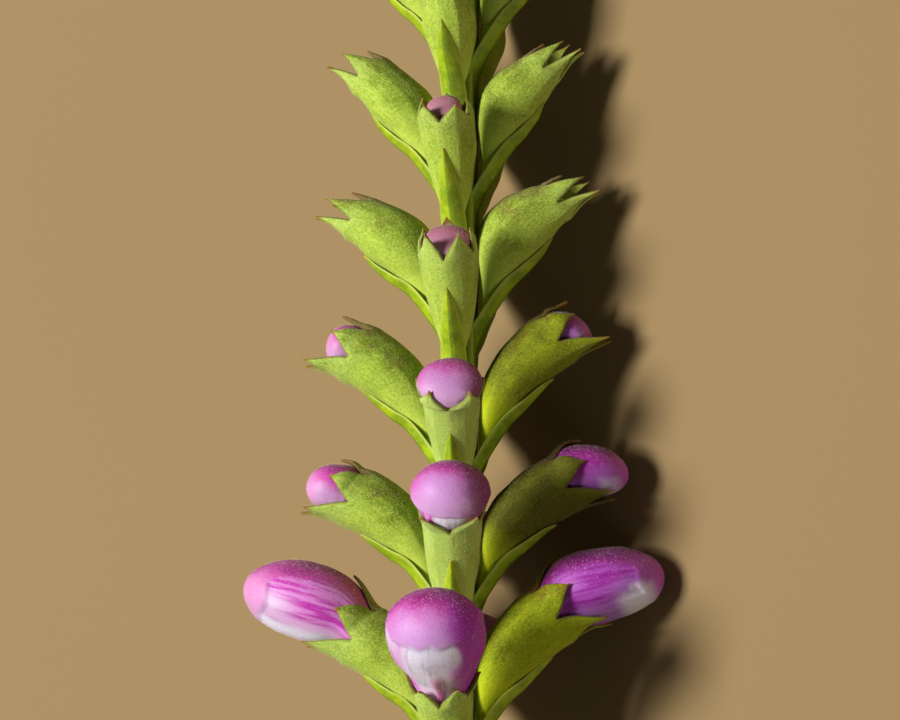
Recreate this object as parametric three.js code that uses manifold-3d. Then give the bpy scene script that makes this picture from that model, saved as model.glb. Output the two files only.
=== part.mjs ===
// Obedient plant flower spike, cut and laid on its side. Millimetres, +Z up.
// The stem runs along +Y with the young tip at +Y and the cut end at -Y.
// Flowers stand in crossed pairs, so they form four straight ranks along a square stem.
// Each flower is a five-toothed calyx in the crook of a bract, with a corolla bud inside it.

import * as THREE from 'three';
import { LoftGeometry } from 'three/addons/geometries/LoftGeometry.js';
import { mergeVertices } from 'three/addons/utils/BufferGeometryUtils.js';
import Module from 'manifold-3d';

// Stem

const STALK_LENGTH = 32; // bare stalk below the lowest pair of flowers
const STALK_HALF_WIDTH = 1.1;
const STEM_HALF_WIDTH = 0.95; // between the flat faces, where the flowers are
const STEM_TIP_HALF_WIDTH = 0.3; // at the last node
const STEM_POINT_HALF_WIDTH = 0.1;
const STEM_CORNER = 1.3; // a corner's distance from the axis, over the half width
const STEM_POINT_LENGTH = 0.9;

// Nodes, counted up the stem from 1, each with one pair of flowers

const FLOWER_NODES = 12; // nodes whose calyces are pieces of their own
const TIP_NODES = 10; // nodes of young buds above them, fused to the stem
const NODE_SPACING = 3.47;
const TIP_RATIO = 0.85; // each young node's size and spacing over those of the one below it
const BASE_TWIST = 5; // degrees that the ranks are turned about the stem
const TWIST_START_NODE = 5;
const TWIST_PER_NODE = 1.9;

// Calyx

const CALYX_LENGTH = 6.0; // base to the notches between the teeth
const CALYX_RADII = [1.42, 1.72]; // at the top flower node and at the lowest
const CALYX_BASE_SHARE = 0.22; // base radius over full radius
const CALYX_SWELL_POWER = 0.9; // under 1, the tube widens sooner above its base
const CALYX_RINGS = [0, 0.14, 0.38, 0.7, 1]; // places from base to mouth
const CALYX_BASE_OUT = 1.45; // where its centre line starts, out from the stem's axis
const CALYX_BASE_UP = 1.65; // and above its node
const CALYX_WALL = 0.42;
const CALYX_CUP_DEPTH = 3.3;
const CLOSED_FULLNESS = 1.13; // how much wider a closed calyx swells
const CALYX_CLOSING = 0.42; // share by which it is then drawn in at its mouth
const CLOSING_START = 0.5; // part of the way from base to mouth
const CLOSED_TOOTH_SHARE = 0.75; // a closed calyx's tooth length over an open one's
const CLOSED_TIP_SHARE = 0.5; // how far out the teeth of a closed calyx end, over its mouth
const YOUNGEST_SIZE = 0.9; // of the top flower node, over the lowest
const YOUNGEST_LEAN = 0.76;
const GROWN_AGE = 0.36; // from 0 at the top flower node to 1 at the lowest, full size from here
const LEANT_AGE = 0.71; // full lean from here
const MOUTH_SLANT = 0.3; // how much nearer the base the mouth is on its upper side
const NOTCH_HALF_TURN = 7; // degrees, half the width of the notch between two teeth
const NOTCH_LENGTH = 0.12;
const TOOTH_TIP_THICKNESS = 0.25;
const TOOTH_TEST_PLACES = [0.35, 0.5, 0.7, 0.85, 1]; // where a tooth has to clear its corolla
const TOOTH_GAP = 0.36; // from a tooth's middle line to the corolla, as its edges come closer

// Each tooth's place round the mouth, in degrees from its upper side, and how far its tip
// stands out over the mouth's radius

const TEETH = [
	{ turn: 0, length: 1.7, spread: 1 },
	{ turn: 72, length: 1.6, spread: 1.05 },
	{ turn: 144, length: 2.2, spread: 1.07 },
	{ turn: 216, length: 2.2, spread: 1.07 },
	{ turn: 288, length: 1.6, spread: 1.05 },
];

// How single flowers differ from the rule for their node and rank: shares of the calyx's
// length, lean and girth, and degrees that the flower is turned about the stem

const EVEN_GROWTH = { length: 1, lean: 1, girth: 1, turn: 0 };
const GROWTH = {
	'01_front': { length: 0.86, lean: 1.1, turn: -3 },
	'02_left': { length: 0.86, lean: 0.92 },
	'02_right': { lean: 0.9 },
	'03_front': { length: 1.1, turn: 1.5 },
	'04_left': { length: 0.9, girth: 0.96 },
	'04_right': { lean: 1.06, girth: 0.94 },
	'05_front': { lean: 1.15 },
	'06_left': { length: 0.95 },
	'06_right': { lean: 0.97, girth: 0.93 },
	'08_left': { length: 0.97, lean: 1.08 },
	'08_right': { lean: 1.04, girth: 0.92 },
	'10_left': { length: 1.05, girth: 1.05 },
	'10_right': { length: 0.96, lean: 0.95, girth: 0.92 },
};

// Corolla buds: width, how far each stands out of its calyx, and how far its centre line
// rises above the calyx's own

const COROLLAS = {
	'01_front': { width: 5.1, reach: 6, rise: 1.1 },
	'01_back': { width: 5.1, reach: 5.6, rise: 0.3 },
	'02_left': { width: 4.4, reach: 6.6, rise: 0.9 },
	'02_right': { width: 4.2, reach: 6.3, rise: 0.4 },
	'03_front': { width: 3.95, reach: 3.2, rise: 0.2 },
	'03_back': { width: 3.95, reach: 3.2, rise: 0.3 },
	'04_left': { width: 3, reach: 2.8, rise: 0.4 },
	'04_right': { width: 3, reach: 3.4, rise: 0.4 },
	'05_front': { width: 3.2, reach: 1.6, rise: 0.3 },
	'05_back': { width: 3.2, reach: 1.6, rise: 0.3 },
	'06_left': { width: 2.7, reach: 1.8, rise: 0 },
	'06_right': { width: 2.5, reach: 2, rise: 0 },
	'07_front': { width: 2.3, reach: 0.9, rise: 0 },
	'07_back': { width: 2.4, reach: 0.9, rise: 0 },
	'09_front': { width: 1.6, reach: 0.5, rise: 0 },
	'09_back': { width: 1.6, reach: 0.5, rise: 0 },
};
const COROLLA_THICKNESS_SHARE = 0.82; // thickness over width
const COROLLA_INSIDE = 2.5; // length that the calyx hides
const COROLLA_WIDEST_SHARE = 0.5; // of the way from where it swells to its end
const COROLLA_GAP = 0.26; // to the calyx's tube
const COROLLA_SIDES = 12;
const SWELL_RINGS = [0.2, 0.38, COROLLA_WIDEST_SHARE, 0.77, 0.9, 0.98]; // places along the swell

// Bract: its root's centre line out from the stem's axis and up from its node, then its
// blade's places along the calyx that it holds, from base to mouth

const BRACT_ROOT = [
	{ out: 0.4, up: -2.4, width: 1.1, thickness: 0.6 },
	{ out: 0.9, up: -0.8, width: 1.5, thickness: 0.6 },
	{ out: 1.7, up: 0.5, width: 1.6, thickness: 0.6 },
];
const BRACT_BLADE = [
	{ part: 0.12, width: 1.4, thickness: 0.6 },
	{ part: 0.35, width: 1.1, thickness: 0.55 },
	{ part: 0.58, width: 0.6, thickness: 0.5 },
	{ part: 0.77, width: 0.12, thickness: 0.24 },
];
const BRACT_GAP = 0.2; // to the calyx
const BRACT_FOLD = 0.5; // how far the edges rise, over the half width
const BRACT_THINNEST = 0.35; // where it is young and small

// Young buds in the tip: plain pointed calyces that stand closer to the stem

const YOUNG_LEAN = 0.7; // over that of the top flower node
const YOUNG_SIDES = 6;
const YOUNG_RINGS = [[0, 0.4], [0.4, 0.95], [0.8, 0.8], [1.15, 0.2]]; // place, share of the radius
const YOUNG_ROOT = 0.6; // how much nearer the stem's axis their centre lines start

// How the cut spike lies, on one flower of the right rank and two of the back rank: turned
// about its stem, laid down with its tip lower, and lifted to the surface with its box centred

const LAID_ROLL = 44.9963; // degrees
const LAID_PITCH = 3.2377; // degrees
const LAID_SHIFT = new THREE.Vector3(0.1419, -11.6621, 7.932);

const MATERIALS = {
	stem: new THREE.MeshStandardMaterial({ name: 'stem_green', color: 0x8aa63a, roughness: 0.6 }),
	calyx: new THREE.MeshStandardMaterial({ name: 'calyx_green', color: 0x7d9a3e, roughness: 0.8 }),
	corolla: new THREE.MeshStandardMaterial({ name: 'corolla_pink', color: 0xb65ab8, roughness: 0.6 }),
};

// The ranks, with each one's turn about the stem and how its flowers lean from the stem,
// in degrees: at the calyx base, at its mouth, and where the corolla runs straight

const RANKS = [
	{ name: 'right', turn: 0, leans: [13, 62, 75] },
	{ name: 'back', turn: 90, leans: [12, 46, 54] },
	{ name: 'left', turn: 180, leans: [19, 68, 80] },
	{ name: 'front', turn: 270, leans: [14, 50, 60] },
];

const { clamp, degToRad, lerp, smoothstep } = THREE.MathUtils;

const wasm = await Module();
wasm.setup();

function toManifold(geometry) {
	const bare = new THREE.BufferGeometry();
	bare.setAttribute('position', geometry.attributes.position);
	bare.setIndex(geometry.index);
	const merged = mergeVertices(bare);
	return new wasm.Manifold(new wasm.Mesh({
		numProp: 3,
		vertProperties: new Float32Array(merged.attributes.position.array),
		triVerts: new Uint32Array(merged.index.array),
	}));
}

function fromManifold(solid) {
	const mesh = solid.getMesh();
	const geometry = new THREE.BufferGeometry();
	geometry.setAttribute('position', new THREE.Float32BufferAttribute(mesh.vertProperties, 3));
	geometry.setIndex(Array.from(mesh.triVerts));
	geometry.computeVertexNormals();
	return geometry;
}

function closedLoft(rings) {
	return new LoftGeometry(rings, { capStart: true, capEnd: true });
}

// Nodes along the stem

function nodeHeight(node) {
	let height = 0;
	let spacing = NODE_SPACING;
	for (let below = 1; below < node; below++) {
		if (below >= FLOWER_NODES) spacing *= TIP_RATIO;
		height += spacing;
	}
	return height;
}

function nodeTwist(node) {
	return BASE_TWIST + TWIST_PER_NODE * Math.max(0, node - TWIST_START_NODE);
}

// 0 at the top flower node, 1 at the lowest

function nodeAge(node) {
	return clamp((FLOWER_NODES - node) / (FLOWER_NODES - 1), 0, 1);
}

// Odd nodes bear the back and front flowers, even nodes the right and left ones

function ranksAt(node) {
	return RANKS.filter((rank, index) => index % 2 === node % 2);
}

function labelAt(node, rank) {
	return `${String(node).padStart(2, '0')}_${rank.name}`;
}

function growthAt(node, rank) {
	return { ...EVEN_GROWTH, ...GROWTH[labelAt(node, rank)] };
}

function atNode(geometry, node, rank) {
	const turn = rank.turn - nodeTwist(node) + growthAt(node, rank).turn;
	const matrix = new THREE.Matrix4().makeRotationZ(degToRad(turn));
	matrix.setPosition(0, 0, nodeHeight(node));
	return geometry.applyMatrix4(matrix);
}

// A flower's centre line, in the plane of its rank, with x out from the stem and z up it.
// It is an arc that leans further out until the last lean, and straight from there.

class FlowerAxis {
	constructor({ out, up, leans, mouthAt }) {
		[this.baseLean, this.mouthLean, this.lastLean] = leans.map(degToRad);
		this.out = out;
		this.up = up;
		this.bend = (this.mouthLean - this.baseLean) / mouthAt;
		this.straightAt = (this.lastLean - this.baseLean) / this.bend;
	}

	// above is towards the stem's tip, and across is along the stem's face
	pointAt(along, above, across) {
		const arc = Math.min(along, this.straightAt);
		const straight = along - arc;
		const lean = this.baseLean + this.bend * arc;
		const arcOut = (Math.cos(this.baseLean) - Math.cos(lean)) / this.bend;
		const arcUp = (Math.sin(lean) - Math.sin(this.baseLean)) / this.bend;
		return new THREE.Vector3(
			this.out + arcOut + straight * Math.sin(lean) - above * Math.cos(lean),
			across,
			this.up + arcUp + straight * Math.cos(lean) + above * Math.sin(lean),
		);
	}

	// turn is 0 on the upper side, and rings wind so that a loft faces outwards
	ringPoint(along, turn, halfThickness, halfWidth, rise = 0) {
		const angle = degToRad(turn);
		return this.pointAt(along, rise + Math.cos(angle) * halfThickness, -Math.sin(angle) * halfWidth);
	}

	ring(along, sides, halfThickness, halfWidth, rise = 0) {
		return Array.from({ length: sides }, (unused, side) => {
			return this.ringPoint(along, side * 360 / sides, halfThickness, halfWidth, rise);
		});
	}
}

// Everything about the flower or young bud at a node that its pieces share

function describeFlower(node, rank) {
	const age = nodeAge(node);
	const young = Math.max(0, node - FLOWER_NODES);
	const shrink = TIP_RATIO ** young;
	const growth = growthAt(node, rank);
	const corolla = COROLLAS[labelAt(node, rank)];
	const size = lerp(YOUNGEST_SIZE, 1, Math.min(1, age / GROWN_AGE)) * shrink;
	const girth = growth.girth * (corolla ? 1 : CLOSED_FULLNESS) * shrink;
	const ageLean = lerp(YOUNGEST_LEAN, 1, Math.min(1, age / LEANT_AGE));
	const lean = ageLean * growth.lean * (young ? YOUNG_LEAN : 1);
	const calyxLength = CALYX_LENGTH * size * growth.length;
	return {
		size,
		shrink,
		calyxLength,
		calyxRadius: lerp(...CALYX_RADII, age) * girth,
		closing: corolla ? 0 : CALYX_CLOSING,
		corolla,
		axis: new FlowerAxis({
			out: CALYX_BASE_OUT * shrink * (young ? YOUNG_ROOT : 1),
			up: CALYX_BASE_UP * shrink,
			leans: rank.leans.map((angle) => angle * lean),
			mouthAt: calyxLength,
		}),
	};
}

// Outer radius of the calyx tube, with part from 0 at the base to 1 at the mouth

function tubeRadius(flower, part) {
	const fill = lerp(CALYX_BASE_SHARE, 1, Math.sin(part ** CALYX_SWELL_POWER * Math.PI / 2));
	return flower.calyxRadius * fill * (1 - flower.closing * smoothstep(part, CLOSING_START, 1));
}

// The corolla's half thickness, half width and rise, at a place along the flower's centre line

function corollaSection(flower, along) {
	const { width, reach, rise } = flower.corolla;
	const swellFrom = flower.calyxLength + MOUTH_SLANT;
	const end = flower.calyxLength + reach;
	const widest = lerp(swellFrom, end, COROLLA_WIDEST_SHARE);
	const neck = tubeRadius(flower, Math.min(1, along / flower.calyxLength)) - CALYX_WALL - COROLLA_GAP;
	const swollen = clamp((along - swellFrom) / (widest - swellFrom), 0, 1);
	const past = clamp((along - widest) / (end - widest), 0, 1);
	const halfWidth = lerp(neck, width / 2, Math.sin(swollen * Math.PI / 2)) * Math.sqrt(1 - past ** 2);
	const share = lerp(1, COROLLA_THICKNESS_SHARE, swollen);
	return { halfThickness: halfWidth * share, halfWidth, rise: rise * smoothstep(swollen, 0, 1) };
}

function corollaGeometry(flower) {
	const start = flower.calyxLength - COROLLA_INSIDE;
	const swellFrom = flower.calyxLength + MOUTH_SLANT;
	const end = flower.calyxLength + flower.corolla.reach;
	const swell = SWELL_RINGS.map((part) => lerp(swellFrom, end, part));
	return closedLoft([start, lerp(start, swellFrom, 0.5), swellFrom, ...swell].map((along) => {
		const { halfThickness, halfWidth, rise } = corollaSection(flower, along);
		return flower.axis.ring(along, COROLLA_SIDES, halfThickness, halfWidth, rise);
	}));
}

// How far the corolla reaches from the flower's centre line towards one side

function corollaExtent(flower, along, turn) {
	const { halfThickness, halfWidth, rise } = corollaSection(flower, along);
	const angle = degToRad(turn);
	return rise * Math.cos(angle) + Math.hypot(halfThickness * Math.cos(angle), halfWidth * Math.sin(angle));
}

// The calyx's columns: each tooth's tip, with a shoulder at the notch on both sides of it

const CALYX_COLUMNS = TEETH.flatMap((tooth) => {
	const shoulder = 180 / TEETH.length - NOTCH_HALF_TURN;
	const notch = { length: NOTCH_LENGTH, spread: 1 };
	return [
		{ ...notch, turn: tooth.turn - shoulder },
		{ ...tooth, isTip: true },
		{ ...notch, turn: tooth.turn + shoulder },
	];
});

function slantAt(turn, part) {
	return MOUTH_SLANT * part * Math.cos(degToRad(turn));
}

// One ring of the tube, with part from 0 at the base to 1 at the mouth

function tubeRing(flower, part, inset) {
	return CALYX_COLUMNS.map(({ turn }) => {
		const radius = tubeRadius(flower, part) - inset;
		return flower.axis.ringPoint(flower.calyxLength * part - slantAt(turn, part), turn, radius, radius);
	});
}

// The tip's inner radius at which a straight tooth, from the notches, clears the corolla

function clearingRadius(flower, turn, notchAlong, tipAlong) {
	const notchRadius = tubeRadius(flower, 1) - CALYX_WALL;
	return Math.max(...TOOTH_TEST_PLACES.map((part) => {
		const needed = corollaExtent(flower, lerp(notchAlong, tipAlong, part), turn) + TOOTH_GAP;
		return notchRadius + (needed - notchRadius) / part;
	}));
}

// The ring through the teeth's tips. They lie on the corolla, or meet over a closed calyx.

function tipRing(flower, isInner) {
	const mouth = tubeRadius(flower, 1);
	return CALYX_COLUMNS.map(({ turn, length, spread, isTip }) => {
		const notch = flower.calyxLength - slantAt(turn, 1);
		let tip = notch + length * flower.size;
		let radius = mouth - (isInner ? CALYX_WALL : 0);
		if (isTip && flower.corolla) {
			const clear = clearingRadius(flower, turn, notch, tip);
			radius = Math.max(mouth * spread - TOOTH_TIP_THICKNESS, clear) + (isInner ? 0 : TOOTH_TIP_THICKNESS);
		} else if (isTip) {
			tip = notch + length * flower.size * CLOSED_TOOTH_SHARE;
			radius = mouth * spread * CLOSED_TIP_SHARE - (isInner ? TOOTH_TIP_THICKNESS : 0);
		}
		return flower.axis.ringPoint(tip, turn, radius, radius);
	});
}

function calyxGeometry(flower) {
	const outside = CALYX_RINGS.map((part) => tubeRing(flower, part, 0));
	const tips = [tipRing(flower, false), tipRing(flower, true)];
	const floor = 1 - CALYX_CUP_DEPTH / flower.calyxLength;
	const cup = flower.corolla ? [1, (1 + floor) / 2, floor] : [1];
	const inside = cup.map((part) => tubeRing(flower, part, CALYX_WALL));
	const bottom = flower.axis.ring(flower.calyxLength * cup.at(-1), CALYX_COLUMNS.length, 0, 0);
	return new LoftGeometry([...outside, ...tips, ...inside, bottom], { capStart: true });
}

// A bract rises out of the stem's face and curves up under its calyx, keeled like a boat

function bractGeometry(flower) {
	const scale = flower.shrink;
	const sections = [...BRACT_ROOT, ...BRACT_BLADE].map(({ out, up, part, width, thickness }) => {
		const halfThickness = Math.max(thickness * scale, BRACT_THINNEST * (1 - scale)) / 2;
		const depth = tubeRadius(flower, part ?? 0) + BRACT_GAP * scale + halfThickness;
		const centre = part
			? flower.axis.pointAt(part * flower.calyxLength, -depth, 0)
			: new THREE.Vector3(out * scale, 0, up * scale);
		return { centre, halfWidth: width * scale / 2, halfThickness };
	});
	const curve = new THREE.CatmullRomCurve3(sections.map(({ centre }) => centre));
	return closedLoft(sections.map(({ centre, halfWidth, halfThickness }, index) => {
		const tangent = curve.getTangent(index / (sections.length - 1));
		const above = new THREE.Vector3(-tangent.z, 0, tangent.x);
		const corner = (across, rise) => centre.clone().addScaledVector(above, rise).setY(across);
		return [
			corner(halfWidth, halfWidth * BRACT_FOLD),
			corner(0, halfThickness),
			corner(-halfWidth, halfWidth * BRACT_FOLD),
			corner(0, -halfThickness),
		];
	}));
}

function youngBudGeometry(flower) {
	return closedLoft(YOUNG_RINGS.map(([place, share]) => {
		const radius = flower.calyxRadius * share;
		return flower.axis.ring(flower.calyxLength * place, YOUNG_SIDES, radius, radius);
	}));
}

// The square stem turns with the ranks, so its flat faces stay under them

function stemSection(height, halfWidth, twist) {
	const points = 8;
	return Array.from({ length: points }, (unused, index) => {
		const angle = degToRad(index * 360 / points - twist);
		const radius = halfWidth * (index % 2 ? STEM_CORNER : 1);
		return new THREE.Vector3(Math.cos(angle) * radius, Math.sin(angle) * radius, height);
	});
}

function bareStemGeometry() {
	const lastNode = FLOWER_NODES + TIP_NODES;
	const sections = [stemSection(-STALK_LENGTH, STALK_HALF_WIDTH, nodeTwist(1))];
	for (let node = 1; node <= lastNode; node++) {
		const narrowing = clamp((node - TWIST_START_NODE) / (lastNode - TWIST_START_NODE), 0, 1);
		const halfWidth = lerp(STEM_HALF_WIDTH, STEM_TIP_HALF_WIDTH, narrowing);
		sections.push(stemSection(nodeHeight(node), halfWidth, nodeTwist(node)));
	}
	const top = nodeHeight(lastNode) + STEM_POINT_LENGTH;
	sections.push(stemSection(top, STEM_POINT_HALF_WIDTH, nodeTwist(lastNode)));
	return closedLoft(sections);
}

function leafyStemGeometry() {
	let solid = toManifold(bareStemGeometry());
	for (let node = 1; node <= FLOWER_NODES + TIP_NODES; node++) {
		for (const rank of ranksAt(node)) {
			const flower = describeFlower(node, rank);
			solid = solid.add(toManifold(atNode(bractGeometry(flower), node, rank)));
			if (node > FLOWER_NODES) {
				solid = solid.add(toManifold(atNode(youngBudGeometry(flower), node, rank)));
			}
		}
	}
	return fromManifold(solid);
}

const spikeUpright = new THREE.Group();
spikeUpright.name = 'upright';

function addPiece(name, geometry, material) {
	const mesh = new THREE.Mesh(geometry, material);
	mesh.name = name;
	spikeUpright.add(mesh);
}

addPiece('stem', leafyStemGeometry(), MATERIALS.stem);

for (let node = 1; node <= FLOWER_NODES; node++) {
	for (const rank of ranksAt(node)) {
		const label = labelAt(node, rank);
		const flower = describeFlower(node, rank);
		addPiece(`calyx_${label}`, atNode(calyxGeometry(flower), node, rank), MATERIALS.calyx);
		if (flower.corolla) {
			addPiece(`corolla_${label}`, atNode(corollaGeometry(flower), node, rank), MATERIALS.corolla);
		}
	}
}

spikeUpright.rotation.z = degToRad(LAID_ROLL);

const spike = new THREE.Group();
spike.rotation.x = degToRad(-90 - LAID_PITCH);
spike.position.copy(LAID_SHIFT);
spike.add(spikeUpright);

export default spike;
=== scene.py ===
"""Obedient plant flower spike, cut and laid on its side.

The plant is described upright and in millimetres, as it grew: Z runs up the stem from the
lowest flowers, and -Y faces the camera. lay() takes every point to where the spike lies, in
metres. Turns about a flower's own line are in degrees from its upper side.
"""

import math
from typing import NamedTuple

import bmesh
import bpy
import numpy as np
from mathutils import Matrix, Vector


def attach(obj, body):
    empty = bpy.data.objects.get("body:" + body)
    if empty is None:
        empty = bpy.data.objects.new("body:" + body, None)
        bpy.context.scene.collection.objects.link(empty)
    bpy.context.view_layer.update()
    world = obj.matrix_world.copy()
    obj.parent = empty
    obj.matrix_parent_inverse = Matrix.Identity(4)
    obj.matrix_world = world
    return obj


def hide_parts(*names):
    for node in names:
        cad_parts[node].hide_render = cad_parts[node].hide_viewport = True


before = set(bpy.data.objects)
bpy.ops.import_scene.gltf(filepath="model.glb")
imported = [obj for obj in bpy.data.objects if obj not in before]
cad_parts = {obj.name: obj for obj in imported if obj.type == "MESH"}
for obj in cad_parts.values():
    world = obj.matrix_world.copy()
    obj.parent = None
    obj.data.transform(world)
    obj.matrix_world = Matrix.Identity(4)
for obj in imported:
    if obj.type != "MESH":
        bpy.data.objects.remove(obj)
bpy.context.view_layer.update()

METRES = 0.001  # in a millimetre

# Sizes that the solids have too

STALK_LENGTH = 32
STALK_HALF_WIDTH = 1.1
STEM_HALF_WIDTH = 0.95
STEM_TIP_HALF_WIDTH = 0.3
STEM_POINT_HALF_WIDTH = 0.1
STEM_POINT_LENGTH = 0.9

FLOWER_NODES = 12
TIP_NODES = 10
NODE_SPACING = 3.47
TIP_RATIO = 0.85
BASE_TWIST = 5
TWIST_START_NODE = 5
TWIST_PER_NODE = 1.9

CALYX_LENGTH = 6.0
CALYX_RADII = (1.42, 1.72)  # at the youngest node and at the oldest
CALYX_BASE_SHARE = 0.22
CALYX_SWELL_POWER = 0.9
CALYX_BASE_OUT = 1.45
CALYX_BASE_UP = 1.65
CLOSED_FULLNESS = 1.13
CALYX_CLOSING = 0.3
CLOSING_START = 0.5
YOUNGEST_SIZE = 0.9
YOUNGEST_LEAN = 0.76
GROWN_AGE = 0.36
LEANT_AGE = 0.71
YOUNG_LEAN = 0.7
YOUNG_ROOT = 0.6
MOUTH_SLANT = 0.3


class Growth(NamedTuple):
    """A flower's own length, lean and girth over those of its age, and its turn in degrees."""

    length: float = 1
    lean: float = 1
    girth: float = 1
    turn: float = 0


GROWTH = {
    "01_front": Growth(length=0.86, lean=1.1, turn=-3),
    "02_left": Growth(length=0.86, lean=0.92),
    "02_right": Growth(lean=0.9),
    "03_front": Growth(length=1.1, turn=1.5),
    "04_left": Growth(length=0.9, girth=0.96),
    "04_right": Growth(lean=1.06, girth=0.94),
    "05_front": Growth(lean=1.15),
    "06_left": Growth(length=0.95),
    "06_right": Growth(lean=0.97, girth=0.93),
    "08_left": Growth(length=0.97, lean=1.08),
    "08_right": Growth(lean=1.04, girth=0.92),
    "10_left": Growth(length=1.05, girth=1.05),
    "10_right": Growth(length=0.96, lean=0.95, girth=0.92),
}


class Rank(NamedTuple):
    """One of the four rows of flowers along the stem, with angles in degrees."""

    name: str
    turn: float  # about the stem
    leans: tuple  # at the calyx's base, at its mouth and further on


RANKS = (
    Rank("right", 0, (13, 62, 75)),
    Rank("back", 90, (12, 46, 54)),
    Rank("left", 180, (19, 68, 80)),
    Rank("front", 270, (14, 50, 60)),
)

LAID_ROLL = 44.9963
LAID_PITCH = 3.2377
LAID_SHIFT = Vector((0.1419, -11.6621, 7.932))
PRESS_HEIGHT = 0.12  # below this, parts that touch the surface are flattened

# Finer forms of the calyx

UPPER_FULLNESS = {"08_left": 0.1, "08_right": 0.55, "10_left": -0.2, "10_right": 0.35}
FRONT_GIRTH = {1: 0.82, 3: 0.87, 5: 0.87, 7: 0.93, 9: 0.93, 11: 0.95}
# Painted light and shade for single calyces: painted shade on the right rank's lower calyces where the
# front flowers shade them, painted light on the front rank's calyces
PAINTED_LIGHT_AND_SHADE = {
    "02_right": -0.5,
    "04_right": -1.0,
    "06_right": -0.7,
    "03_front": 0.5,
    "05_front": 0.5,
    "07_front": 0.2,
}  # below 0 painted shade makes the calyx darker and olive, above 0 painted light makes it paler and greyer

CALYX_WALL = 0.42
MOUTH_WALL = 0.26
TIP_WALL = 0.1
WALL_THINNING = 0.4  # part of the way from base to mouth where the wall starts to thin
CUP_FLOOR = 0.5  # part of the way from base to mouth
PEDICEL = 0.15  # length below the base, over the calyx's length
RIB_HEIGHT = 0.05
KEEL_HEIGHT = 0.12  # of the ridge along the upper side
CALYX_BUMP = 0.03
CALYX_BUMP_SPACING = 1.6


class Tooth(NamedTuple):
    """One of the calyx's five teeth, in a flower at full size."""

    length: float
    power: float  # the lower, the longer it stays wide
    taper: float  # how much the power grows to its tip
    bow: float  # outward, half way up
    lift: float  # of its tip, outward
    closed: float  # how far out its tip lies on a closed calyx, over the mouth
    brown: float


UPPER_TOOTH = Tooth(length=1.6, power=0.55, taper=0.35, bow=0.0, lift=0.1, closed=1.0, brown=1.0)
SIDE_TOOTH = Tooth(length=1.6, power=0.6, taper=0.6, bow=0.15, lift=0.0, closed=0.8, brown=0.25)
LOWER_TOOTH = Tooth(length=2.4, power=0.8, taper=0.4, bow=0.0, lift=0.12, closed=0.6, brown=0.1)
TEETH = ((0, UPPER_TOOTH), (72, SIDE_TOOTH), (144, LOWER_TOOTH), (216, LOWER_TOOTH), (288, SIDE_TOOTH))
HALF_SPAN = 36  # degrees, half of a tooth's share of the mouth
TOOTH_TIP_WIDTH = 0.03  # over its width at the notches
SWAY_POWER = 1.5

# Each tooth's own length, lift and bow over its kind's, and its sway in degrees
LENGTH_RANGE = (0.93, 1.07)
SWAY_RANGE = (-5, 5)
LIFT_RANGE = (0.5, 1.5)
BOW_RANGE = (0.6, 1.3)

# Length of the front rank's teeth over the others', and how far the lower two turn apart
FRONT_TEETH = {1: (0.5, 8), 3: (0.55, 14), 5: (0.5, 14), 7: (0.72, 0), 9: (0.45, 0), 11: (0.7, 0)}
CLOSED_TOOTH_SHARES = {0: 0.75, 72: 1.25, 144: 0.85, 216: 0.85, 288: 1.25}
CLOSED_SWAY = 8  # degrees that the side teeth of a closed calyx turn to its upper side
CLOSED_RAISE = 0.4  # of the lift and bow that an open calyx's teeth have

YOUNG_BUD_PARTS = (0.72, 1.08)  # where it meets the calyx, and its top
YOUNG_BUD_SINK = 0.1  # into the calyx's wall
YOUNG_BUD_ROWS = 9

# Finer forms of the corolla


class Bud(NamedTuple):
    """The corolla where it stands out of the calyx."""

    width: float
    thickness: float
    reach: float
    neck: float  # half width in the mouth
    rise: float = 0  # over the calyx's line
    sink: float = 0  # of the tip
    widest: float = 0.48  # of the reach
    shoulder: float = 1.25  # the higher, the longer the bud stays slim
    blush: float = 0  # deeper purple and painted shade on its right side, away from the light


BUDS = {
    "01_front": Bud(4.95, 4.2, 6, neck=1.2, rise=1.0, widest=0.6, shoulder=0.9, blush=1.1),
    "01_back": Bud(5.1, 4.2, 5.6, neck=1.3, rise=0.5, sink=0.3),
    "02_left": Bud(4.4, 3.96, 6.4, neck=1.3, rise=0.75, sink=0.05),
    "02_right": Bud(4.2, 3.75, 6, neck=1.3, rise=0.75, sink=0.9),
    "03_front": Bud(3.8, 3.2, 3.2, neck=1.2, rise=0.25, blush=0.7),
    "03_back": Bud(4.2, 3.2, 3.2, neck=1.2, sink=0.3),
    "04_left": Bud(3, 2.35, 2.6, neck=1.1, rise=0.3, sink=0.2),
    "04_right": Bud(3, 2.55, 3.4, neck=1.15, rise=0.65, sink=0.75),
    "05_front": Bud(3.2, 2.7, 1.6, neck=1.2, rise=0.1, blush=0.7),
    "05_back": Bud(3.2, 2.8, 1.6, neck=1.3, rise=0.3, sink=0.2),
    "06_left": Bud(2.7, 2.2, 1.7, neck=1.05, rise=0.15, sink=0.1),
    "06_right": Bud(2.5, 2, 1.85, neck=0.95, rise=0.5, sink=0.9),
    "07_front": Bud(2.4, 2.3, 1.0, neck=1.14),
    "07_back": Bud(2.3, 2.1, 0.9, neck=1),
    "09_front": Bud(1.75, 1.65, 0.8, neck=0.86),
    "09_back": Bud(1.6, 1.5, 0.5, neck=0.75),
}
BUD_RISE_SHARES = (-0.1, 0.25)  # of the reach, between which the bud rises
COROLLA_INSIDE = 2.2  # length of the corolla within the calyx
COROLLA_GAP = 0.04
PETAL_GRID = ((28, 52), (24, 42), (60, 96))  # rows to the widest place and past it, and columns
COROLLA_BUMP = 0.035
COROLLA_BUMP_SPACING = 2.2
LEAST_SPREAD = 0.2  # from a bud's middle, below which its bumps get no steeper

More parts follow.
